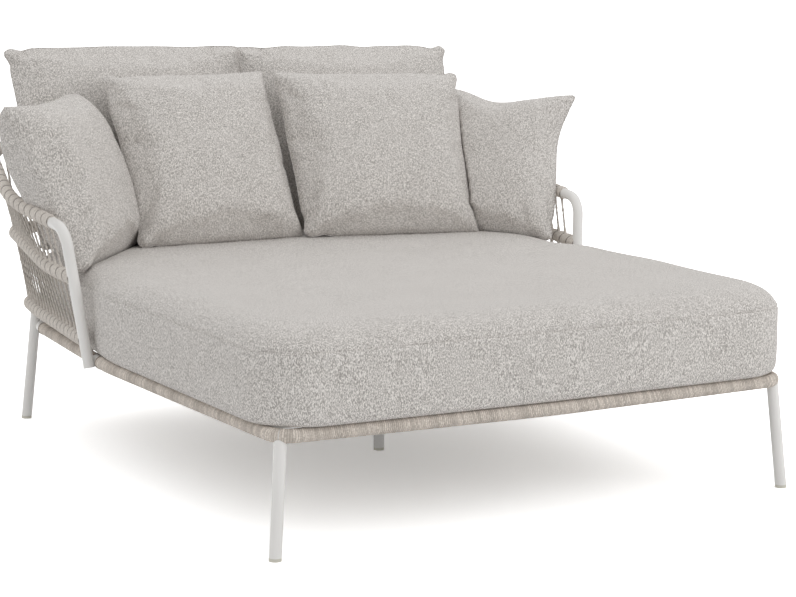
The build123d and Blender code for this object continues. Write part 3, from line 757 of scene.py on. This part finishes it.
seatTop, restGap = 0.520, 0.0003
backShape = {"wide": 0.737, "high": 0.586, "thick": 0.200, "y": 0.842, "turn": 0, "lean": 16.3, "roll": 0,
             "lift": -0.0144, "taper": 0.042, "plump": (0, 0), "fill": 0.65, "slot": "cushion_fabric"}
frontShape = {"wide": 0.545, "high": 0.515, "thick": 0.162, "lean": 24, "roll": 0, "lift": 0.0005,
              "plump": (1.0, 0), "fill": 0.6, "slot": "pillow_fabric"}
sideShape = {"wide": 0.488, "high": 0.484, "thick": 0.154, "fill": 0.6, "slot": "pillow_fabric"}
# plump: how full the front and the back face are, 0 where air alone fills the face
# sags: axis, side, place along the edge, depth and width of each drawn-in edge
# ears: how far each corner is pulled, in the order of pillowCorners
# knobs: the corners where the cover bunches
# folds: foot, tip and depth of each crease, in shares of half the cover
pillows = {
    "backCushion-left": {
        **backShape, "node": "back_cushion_left", "x": -0.3725, "taperSide": -1, "seed": 11,
        "sags": [(1, 1, 0, -0.012, 0.9), (0, 1, 0.5, -0.012, 0.9)],
        "ears": [(-0.006, 0.004), (0, 0.001), (0, 0), (0, 0)], "knobs": [(-1, 1)],
        "folds": [((-0.93, 0.97), (-0.80, 0.74), 0.006), ((0.35, 1.0), (0.45, 0.78), 0.004)]},
    "backCushion-right": {
        **backShape, "node": "back_cushion_right", "x": 0.3725, "taperSide": 1, "seed": 12,
        "sags": [(1, 1, 0, -0.009, 0.9), (0, -1, 0.5, -0.012, 0.9)],
        "ears": [(-0.004, -0.001), (-0.004, -0.008), (0, 0), (0, 0)], "knobs": [(1, 1)],
        "folds": [((0.92, 0.97), (0.78, 0.76), 0.006), ((-0.30, 1.0), (-0.36, 0.80), 0.004)]},
    "frontPillow-left": {
        **frontShape, "node": "front_pillow_left", "x": -0.246, "y": 0.636, "turn": 3, "seed": 13,
        "sags": [(0, 1, 0.1, -0.008, 0.7), (0, -1, 0.6, -0.006, 0.4)],
        "ears": [(0.006, 0.012), (-0.014, 0.014), (0.017, 0.005), (0.010, 0.004)],
        "knobs": [(-1, -1), (-1, 1)],
        "folds": [((-1.0, -0.72), (-0.74, -0.44), 0.020), ((0.44, -0.98), (0.46, -0.74), 0.010),
                  ((-1.0, 0.18), (-0.78, 0.12), 0.009), ((1.0, -0.18), (0.82, -0.10), 0.010)]},
    "frontPillow-right": {
        **frontShape, "node": "front_pillow_right", "x": 0.307, "y": 0.571, "turn": -8, "seed": 14,
        "sags": [(0, -1, 0.0, -0.010, 0.8)],
        "ears": [(-0.028, 0.012), (0.022, 0.003), (0.003, 0.010), (0.012, -0.001)],
        "knobs": [(1, 1), (-1, -1)],
        "folds": [((1.0, 0.66), (0.74, 0.52), 0.014), ((-0.6, -1.0), (-0.52, -0.78), 0.009),
                  ((-1.0, 0.10), (-0.80, 0.16), 0.005)]},
    "sidePillow-left": {
        **sideShape, "node": "side_pillow_left", "x": -0.657, "y": 0.565, "turn": 47, "lean": 26, "roll": 2.5,
        "lift": -0.0066, "plump": (1.10, 1.3), "plumpRise": 0.16, "seed": 15,
        "sags": [(1, 1, 0.1, 0.010, 0.5)],
        "ears": [(-0.001, 0.001), (-0.002, -0.008), (-0.010, -0.003), (0, 0)], "knobs": [(-1, -1)],
        "folds": [((-0.70, -1.0), (-0.50, -0.70), 0.009)]},
    "sidePillow-right": {
        **sideShape, "node": "side_pillow_right", "x": 0.669, "y": 0.543, "turn": -47, "lean": 27,
        "roll": -2.5, "lift": -0.00655, "plump": (1.1, 0), "seed": 16,
        "sags": [(1, 1, 0.1, 0.036, 0.42), (0, 1, 0.35, 0.022, 0.45)],
        "ears": [(0, -0.010), (0.004, -0.011), (0, 0), (0.009, -0.004)], "knobs": [(1, -1)],
        "folds": [((0.70, -1.0), (0.52, -0.72), 0.007)]},
}
pillowCloth = {
    "cell": 0.0085, "earDraw": 0.015, "edgeDraw": 0.005, "drawPower": 2.5, "startShare": 0.90,
    "edgePower": 0.72, "bodyPower": 2.6, "bodyRound": 0.55, "unevenness": 0.003, "unevenLength": 0.09,
    "frames": 20, "cap": 0.022, "proud": 0.004, "clearance": 0.003, "leastHalf": 0.0015,
    "foldPlace": (0.055, 0.10), "foldLength": (0.06, 0.13), "foldDepth": (0.004, 0.012),
    "foldSlant": (0.45, 1.0), "foldPower": 0.8, "foldWidth": 0.009, "foldFloor": 0.25, "foldStart": 0.01,
    "foldEnd": 0.02, "earPower": 6, "rimPower": 6, "rimFoot": -0.9, "rimSeed": 40,
    "earRound": 0.013, "knobRound": 0.028, "neckPlace": 0.060, "neckWidth": 0.018, "neckReach": 0.03,
    "neckDraw": 0.006, "edgeWave": 0.0055, "edgeWaveLength": 0.15,
}
# cloth and air pressure, under the solver's own names
filling = {"quality": 5, "mass": 0.3, "tension_stiffness": 18, "compression_stiffness": 10,
           "shear_stiffness": 6, "bending_stiffness": 0.4, "use_pressure": True,
           "uniform_pressure_force": 4.0}
pillowCorners = ((-1, 1), (1, 1), (-1, -1), (1, -1))


def lensHalf(look, u, v):
    # half the CAD solid's thickness: seam + (crown at that height - seam) * (1 - u squared)
    crown = seamHalf + (look["thick"] / 2 - seamHalf) * smoothCurve(v, *np.transpose(lensStops))
    return seamHalf + (crown - seamHalf) * (1 - u**2)


def makePillow(name, look):
    # two square panels that share their rim. Half thickness = start share * thickness / 2 *
    # ((1 - u^2) * (1 - v^2)) ^ power where air fills it, and where it is plump, fullness *
    # thickness / 2 * ((1 - |u|^p) * (1 - |v|^p)) ^ round; the edges are drawn in between the ears
    countU, countV = (round(look[key] / pillowCloth["cell"]) for key in ("wide", "high"))
    u, v = np.meshgrid(np.linspace(-1, 1, countU + 1), np.linspace(-1, 1, countV + 1), indexing="ij")
    half = look["thick"] / 2
    thin = half * pillowCloth["startShare"] * ((1 - u**2) * (1 - v**2)) ** pillowCloth["edgePower"]
    fromRim = (1 - np.abs(u) ** pillowCloth["bodyPower"]) * (1 - np.abs(v) ** pillowCloth["bodyPower"])
    body = half * fromRim ** pillowCloth["bodyRound"] * (1 + look.get("plumpRise", 0) * v)
    frontThick, backThick = (body * fullness if fullness else thin for fullness in look["plump"])
    drawU = pillowCloth["earDraw"] * (1 - np.abs(v) ** pillowCloth["drawPower"])
    drawV = pillowCloth["edgeDraw"] * (1 - np.abs(u) ** pillowCloth["drawPower"]) * (v > 0)
    foot = look.get("taper", 0.0) * (1 - v) / 2
    across = u * (look["wide"] / 2 - drawU - foot / 2) - look.get("taperSide", 0) * foot / 2
    upward = v * (look["high"] / 2 - drawV)
    inner = np.where((np.abs(u) < 1) & (np.abs(v) < 1))
    front = np.arange(u.size).reshape(u.shape)
    back = front.copy()
    back[inner] = u.size + np.arange(len(inner[0]))
    points = np.concatenate([
        np.stack([across, -frontThick, upward], -1).reshape(-1, 3),
        np.stack([across[inner], backThick[inner], upward[inner]], -1)])
    points[:, 1] += pillowCloth["unevenness"] * softNoise(points, pillowCloth["unevenLength"], look["seed"])
    frontQuads = np.stack([front[:-1, :-1], front[1:, :-1], front[1:, 1:], front[:-1, 1:]], -1).reshape(-1, 4)
    backQuads = np.stack([back[:-1, :-1], back[:-1, 1:], back[1:, 1:], back[1:, :-1]], -1).reshape(-1, 4)
    return {
        "piece": meshOf(name, points, np.concatenate([frontQuads, backQuads])), "start": points,
        "u": np.concatenate([u.ravel(), u[inner]]), "v": np.concatenate([v.ravel(), v[inner]]),
        "rimLoop": np.concatenate([front[:, 0], front[-1, 1:], front[-2::-1, -1], front[0, -2:0:-1]]),
        "front": front, "back": back,
    }


def stretchBack(shaped, start, front, back):
    # a filled cover draws its edges in: each row and column is stretched back to the rim that
    # it started from, so that the ears and the foot stay where they are
    for axis, ends in ((0, (front[0], front[-1])), (2, (front[:, 0], front[:, -1]))):
        low, high = (shaped[end, axis] for end in ends)
        lowWanted, highWanted = (start[end, axis] for end in ends)
        if axis == 2:
            low, high, lowWanted, highWanted = (row[:, None] for row in (low, high, lowWanted, highWanted))
        stretched = shaped.copy()
        for layer in (front, back):
            share = (shaped[layer, axis] - low) / (high - low)
            stretched[layer, axis] = lowWanted + share * (highWanted - lowWanted)
        shaped = stretched
    return shaped


def overFold(flat, foot, way):
    # each point's place along a fold, and a bell-shaped share across it
    along, across = (flat - foot) @ way, (flat - foot) @ np.array([-way[1], way[0]])
    return along, np.exp(-((across / pillowCloth["foldWidth"]) ** 2))


def foldsOf(look, start, spot, half):
    # two short folds run in from the edges beside each ear, and the cover's own creases run from a
    # point on the rim to a point inside, deepest near the foot
    rng = np.random.default_rng(look["seed"])
    sunk = np.zeros(len(start))
    slant = np.array(pillowCloth["foldSlant"])
    for corner in sorted(pillowCorners):
        for alongX in (True, False):
            reach = rng.uniform(*pillowCloth["foldPlace"])
            foot = np.array(corner) * (half - (reach * np.array([alongX, not alongX])))
            way = -np.array(corner) * unit(slant if alongX else slant[::-1])
            length, depth = rng.uniform(*pillowCloth["foldLength"]), rng.uniform(*pillowCloth["foldDepth"])
            along, bell = overFold(start[:, [0, 2]], foot, way)
            profile = np.sin(math.pi * np.clip(along / length, 0, 1)) ** pillowCloth["foldPower"]
            sunk += depth * profile * bell
    for foot, tip, depth in look["folds"]:
        foot, tip = np.array(foot) * half, np.array(tip) * half
        length = np.linalg.norm(tip - foot)
        along, bell = overFold(spot * half, foot, unit(tip - foot))
        ends = np.clip(1 + along / pillowCloth["foldStart"], 0, 1)
        ends = ends * np.clip(1 + (length - along) / pillowCloth["foldEnd"], 0, 1)
        sunk += depth * (1 - np.clip(along / length, 0, 1) ** 2) * ends * bell
    return sunk


def tuckEars(shaped, look, cover):
    # sinks the folds in, rounds the ears, swells the knobs, draws edges in and pulls each ear its own way
    start, u, v = cover["start"], cover["u"], cover["v"]
    half = np.array([look["wide"], look["high"]]) / 2
    spot = np.stack([u, v], 1)
    thick = np.abs(shaped[:, 1])
    thick = np.maximum(thick - foldsOf(look, start, spot, half), pillowCloth["foldFloor"] * thick)
    fromSides = (1 - np.abs(spot)) * half
    for corner in pillowCorners:
        # the ear is rounded, and where the cover bunches it swells into a knob with a neck behind it
        knob = corner in look["knobs"]
        radius = pillowCloth["knobRound" if knob else "earRound"]
        here = (np.sign(u) == corner[0]) & (np.sign(v) == corner[1])
        toMiddle = radius - fromSides
        inCorner = here & (toMiddle.min(1) > 0)
        diagonal = np.maximum(np.linalg.norm(toMiddle, axis=1), 1e-9)
        rounding = np.where(inCorner, toMiddle.max(1) / diagonal, 1)
        shaped[:, [0, 2]] += (np.array(corner) * np.clip(toMiddle, 0, None)) * (rounding - 1)[:, None]
        if not knob:
            continue
        ball = np.sqrt(np.clip(radius**2 - np.abs(toMiddle).max(1) ** 2, 0, None))
        thick = np.where(here & (fromSides.min(1) > 1e-6), np.maximum(thick, ball), thick)
        for axis in (0, 1):
            offNeck = (fromSides[:, 1 - axis] - pillowCloth["neckPlace"]) / pillowCloth["neckWidth"]
            near = np.exp(-((fromSides[:, axis] / pillowCloth["neckReach"]) ** 2)) * here
            shaped[:, 2 * axis] -= corner[axis] * pillowCloth["neckDraw"] * np.exp(-(offNeck**2)) * near
    shaped[:, 1] = np.sign(shaped[:, 1]) * thick
    for axis, side, spread, depth, width in look["sags"]:
        # one edge of the cover is drawn in (or swells out) round a place along it
        other, own = (v, u) if axis == 0 else (u, v)
        weight = np.exp(-(((other - spread) / width) ** 2)) * np.clip((1 + side * own) / 2, 0, 1) ** 2
        shaped[:, 2 * axis] -= side * depth * weight
    for (cornerX, cornerZ), pull in zip(pillowCorners, look["ears"]):
        shaped[:, [0, 2]] += ((1 + cornerX * u) * (1 + cornerZ * v) / 4)[:, None] * np.array(pull)
    # the rim wavers a little, save at the foot
    nearRim = np.maximum(np.abs(u), np.abs(v)) ** pillowCloth["rimPower"] * (v > pillowCloth["rimFoot"])
    waver = softNoise(start, pillowCloth["edgeWaveLength"], look["seed"] + pillowCloth["rimSeed"])
    waver = waver * nearRim * pillowCloth["edgeWave"]
    outward = np.stack([np.sign(u) * (np.abs(u) > np.abs(v)), np.abs(v) >= np.abs(u)], 1)
    shaped[:, [0, 2]] += waver[:, None] * outward
    return shaped


def blowUp(pieces):
    # fills every cover at once with air pressure and no gravity, for the frames given
    for piece in pieces:
        cloth = piece.modifiers.new("filling", "CLOTH")
        for setting, value in filling.items():
            setattr(cloth.settings, setting, value)
        cloth.settings.effector_weights.gravity = 0
        cloth.point_cache.frame_start = 1
        cloth.point_cache.frame_end = pillowCloth["frames"]
    for number in range(1, pillowCloth["frames"] + 1):
        bpy.context.scene.frame_set(number)
    shapes = {}
    graph = bpy.context.evaluated_depsgraph_get()
    for piece in pieces:
        filled = np.empty(len(piece.data.vertices) * 3, np.float32)
        piece.evaluated_get(graph).data.vertices.foreach_get("co", filled)
        shapes[piece.name] = filled.reshape(-1, 3).astype(float)
        piece.modifiers.clear()
    bpy.context.scene.frame_set(1)
    return shapes


covers = {name: makePillow(name, look) for name, look in pillows.items()}
shapes = blowUp([cover["piece"] for cover in covers.values()])
print("covers filled")

trees = []


def growTree(mesh):
    # a search tree of a mesh of four-sided faces, for the first face met from a point
    points = np.empty(len(mesh.vertices) * 3, np.float32)
    mesh.vertices.foreach_get("co", points)
    faces = np.empty(len(mesh.loops), np.int32)
    mesh.loops.foreach_get("vertex_index", faces)
    trees.append(BVHTree.FromPolygons(points.reshape(-1, 3).tolist(), faces.reshape(-1, 4).tolist()))


def roomAlong(points, way, reach=0.4):
    # how far each point can go along a direction before it meets a cover that is in place
    way = Vector(way)
    room = []
    for point in points:
        met = [tree.ray_cast(Vector(point), way, reach)[3] for tree in trees]
        room.append(min([distance for distance in met if distance is not None], default=reach))
    return np.array(room)


def shapeCover(look, cover, filled):
    # the filled cover held near its start shape, tucked, and where it isn't plump, kept near the
    # CAD solid's faces
    start = cover["start"]
    move = filled - start
    size = np.linalg.norm(move, axis=1, keepdims=True)
    shaped = start + move * np.minimum(1, pillowCloth["cap"] / np.maximum(size, 1e-9))
    shaped = tuckEars(stretchBack(shaped, start, cover["front"], cover["back"]), look, cover)
    atEar = (np.abs(cover["u"]) * np.abs(cover["v"])) ** pillowCloth["earPower"]
    limit = lensHalf(look, cover["u"], cover["v"]) + pillowCloth["proud"] + atEar * pillowCloth["knobRound"]
    frontLimit, backLimit = (np.inf if fullness else limit for fullness in look["plump"])
    shaped[:, 1] = np.clip(shaped[:, 1], -frontLimit, backLimit)
    return shaped


def giveRoom(shaped, centre, ways):
    # a plump face gives way where a neighbour stands in front of it
    middle = centre + (shaped * (1, 0, 1)) @ ways
    for sign in (-1, 1):
        onFace = np.flatnonzero(np.sign(shaped[:, 1]) == sign)
        room = roomAlong(middle[onFace], sign * ways[1]) - pillowCloth["clearance"]
        room = np.maximum(room, pillowCloth["leastHalf"])
        shaped[onFace, 1] = sign * np.minimum(np.abs(shaped[onFace, 1]), room)


def creaseRim(mesh, rimLoop):
    # keeps the rim's edges sharp under the smoothing, so that the seam's cord lies on them
    edges = np.empty(len(mesh.edges) * 2, np.int32)
    mesh.edges.foreach_get("vertices", edges)
    onRim = np.isin(edges.reshape(-1, 2), rimLoop).all(1).astype(np.float32)
    mesh.attributes.new("crease_edge", "FLOAT", "EDGE").data.foreach_set("value", onRim)


for name, look in pillows.items():
    cover, body = covers[name], look["node"]
    piece = cover["piece"]
    shaped = shapeCover(look, cover, shapes[name])
    height = seatTop + restGap + look["lift"] + lowestPoint(look["high"], look["thick"], look["lean"])
    ways, centre = pillowFrame((look["x"], look["y"], height), look["turn"], look["lean"], look["roll"])
    giveRoom(shaped, centre, ways)
    placed = centre + shaped @ ways
    piece.data.vertices.foreach_set("co", placed.astype(np.float32).ravel())
    piece.data.update()
    growTree(piece.data)
    creaseRim(piece.data, cover["rimLoop"])
    soften(piece)
    settle(piece, fabricFinish, body, look["slot"], body)
    rim = placed[cover["rimLoop"]]
    seam = hoopMesh(f"{name}-seam", rim, np.tile(ways[1], (len(rim), 1)), seamCord)
    settle(seam, fabricFinish, body, look["slot"])
print("pillows placed")

seat, seamLine = makeSeatPad()
soften(seat)
settle(seat, fabricFinish, "seat_cushion", "cushion_fabric", "seat_cushion")
seatSeam = hoopMesh("seatCushion-seam", seamLine, np.tile((0.0, 0.0, 1.0), (len(seamLine), 1)), seatSeamCord)
settle(seatSeam, fabricFinish, "seat_cushion", "cushion_fabric")
print("seat cushion made")

# studio: pale floor, soft light, white background
studio = {
    "floorTone": 0.80, "floorSeen": 2.05, "worldLight": 1.02, "halfFloor": 60,
    "lamps": [
        {"name": "above", "place": (0.6, 2.2, 4.2), "size": 4.0, "power": 26.0},
        {"name": "frontRight", "place": (3.4, -4.2, 2.6), "size": 3.0, "power": 45.0},
    ],
    "aim": (0.0, 0.0, 0.4),
}
floorMesh = bpy.data.meshes.new("floor")
far = studio["halfFloor"]
floorMesh.from_pydata([(-far, -far, 0), (far, -far, 0), (far, far, 0), (-far, far, 0)], [], [(0, 1, 2, 3)])
floor = bpy.data.objects.new("floor", floorMesh)
bpy.context.scene.collection.objects.link(floor)
made = Shader(bpy.data.materials.new("pale floor"))
floorTones = (colour((1, 1, 1), studio[key]) for key in ("floorTone", "floorSeen"))
shaded = made.node("ShaderNodeBsdfDiffuse", None, {"Color": made.mix(made.seenDirectly(), *floorTones)})
made.node("ShaderNodeOutputMaterial", None, {"Surface": shaded})
floor.data.materials.append(made.holder)

made = Shader(bpy.data.worlds.new("studio"))
bpy.context.scene.world = made.holder
strength = made.node("ShaderNodeMapRange", None,
                     {"Value": made.seenDirectly(), "To Min": studio["worldLight"], "To Max": 1.0})
background = made.node("ShaderNodeBackground", None, {"Strength": strength})
made.node("ShaderNodeOutputWorld", None, {"Surface": background})


def facing(place, target):
    # a turn that points an object's -Z from its place at a target, which isn't right below it
    way = unit(np.array(place, float) - np.array(target, float))
    right = unit(np.cross((0, 0, 1), way))
    return np.stack([right, np.cross(way, right), way], 1)


def stand(thing, place, turned):
    # puts a light or the camera in its place
    matrix = np.eye(4)
    matrix[:3, :3], matrix[:3, 3] = turned, place
    thing.matrix_world = Matrix(matrix.tolist())
    bpy.context.scene.collection.objects.link(thing)


for lamp in studio["lamps"]:
    light = bpy.data.lights.new(lamp["name"], "AREA")
    light.shape, light.size, light.energy = "SQUARE", lamp["size"], lamp["power"]
    holder = bpy.data.objects.new(lamp["name"], light)
    stand(holder, lamp["place"], facing(lamp["place"], studio["aim"]))

view = {"place": (-2.6985, -4.9736, 1.3435), "azimuth": -28.995, "elevation": 9.2294, "roll": 0.3586,
        "lens": 94.752, "sensor": 36.0, "clip": (0.1, 200.0)}
azimuth, elevation, roll = (math.radians(view[key]) for key in ("azimuth", "elevation", "roll"))
level = (math.sin(azimuth) * math.cos(elevation), -math.cos(azimuth) * math.cos(elevation))
backward = np.array([*level, math.sin(elevation)])
right = unit(np.cross(-backward, (0, 0, 1)))
up = np.cross(right, -backward)
rolledRight = math.cos(roll) * right + math.sin(roll) * up
rolledUp = math.cos(roll) * up - math.sin(roll) * right
lens = bpy.data.cameras.new("camera")
lens.lens = view["lens"]
lens.sensor_width = view["sensor"]
lens.clip_start, lens.clip_end = view["clip"]
camera = bpy.data.objects.new("camera", lens)
stand(camera, view["place"], np.stack([rolledRight, rolledUp, backward], 1))
bpy.context.scene.camera = camera
bpy.context.scene.view_settings.view_transform = "Standard"
print("studio ready")
